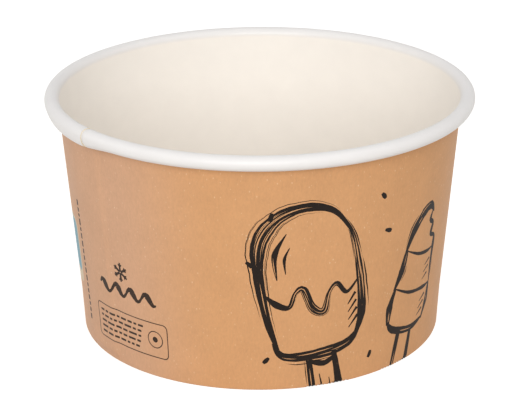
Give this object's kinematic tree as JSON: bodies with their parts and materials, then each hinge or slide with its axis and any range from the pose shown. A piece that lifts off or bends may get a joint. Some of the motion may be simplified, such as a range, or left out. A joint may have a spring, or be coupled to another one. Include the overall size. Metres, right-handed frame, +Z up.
{
  "type": "paper ice cream tub",
  "caption": "Open paper tub with a slightly flared lapped wall, an outward rolled rim and a recessed base held by a folded hem.",
  "frame": {"origin": "on the tub's axis, in the plane that the foot stands on", "axes": "+Z up along the axis, towards the open rim; -Y towards the front of the print"},
  "size_m": [0.096, 0.096, 0.0555],
  "materials": {
    "wall_board": "food board with a brown printed outside under a satin coat, and a cream coated inside that shows as the white rim",
    "disc_board": "uncoated cream food board, coated on the filling's side"
  },
  "bodies": {
    "root": {"side_wall": "wall_board", "base_disc": "disc_board"}
  },
  "joints": []
}
